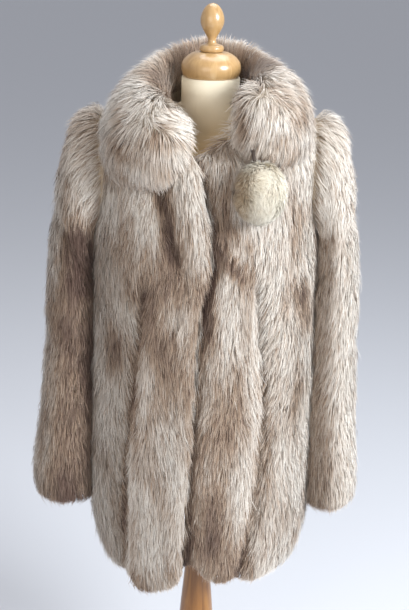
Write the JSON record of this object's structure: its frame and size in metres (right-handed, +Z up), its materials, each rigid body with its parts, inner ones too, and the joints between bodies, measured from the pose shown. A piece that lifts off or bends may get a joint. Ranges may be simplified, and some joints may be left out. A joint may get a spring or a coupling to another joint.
{
  "type": "fur coat on dress form",
  "caption": "Pale fox-type fur coat with a large rolled collar and a fur ball, shown on a limbless dress form with a turned wood stand",
  "frame": {"origin": "middle of the underside of the stand's base, on the floor", "axes": "+Z up, -Y towards the front of the coat, +X to the wearer's left"},
  "size_m": [0.6378, 0.4131, 1.467],
  "materials": {
    "body_fur": "long soft fur",
    "sleeve_fur": "long soft fur",
    "collar_fur": "long soft fur",
    "pompom_fur": "dense soft fur",
    "cord": "matt braid",
    "jersey": "fine matt knit",
    "pale_wood": "clear varnish",
    "brown_wood": "clear varnish"
  },
  "bodies": {
    "root": {"front_right": "body_fur", "front_left": "body_fur", "back": "body_fur", "sleeve_right": "sleeve_fur", "sleeve_left": "sleeve_fur", "collar": "collar_fur", "pompom": "pompom_fur", "pompom_cord": "cord", "form_body": "jersey", "neck_cap": "pale_wood", "finial": "pale_wood", "column": "brown_wood", "base": "brown_wood"}
  },
  "joints": []
}
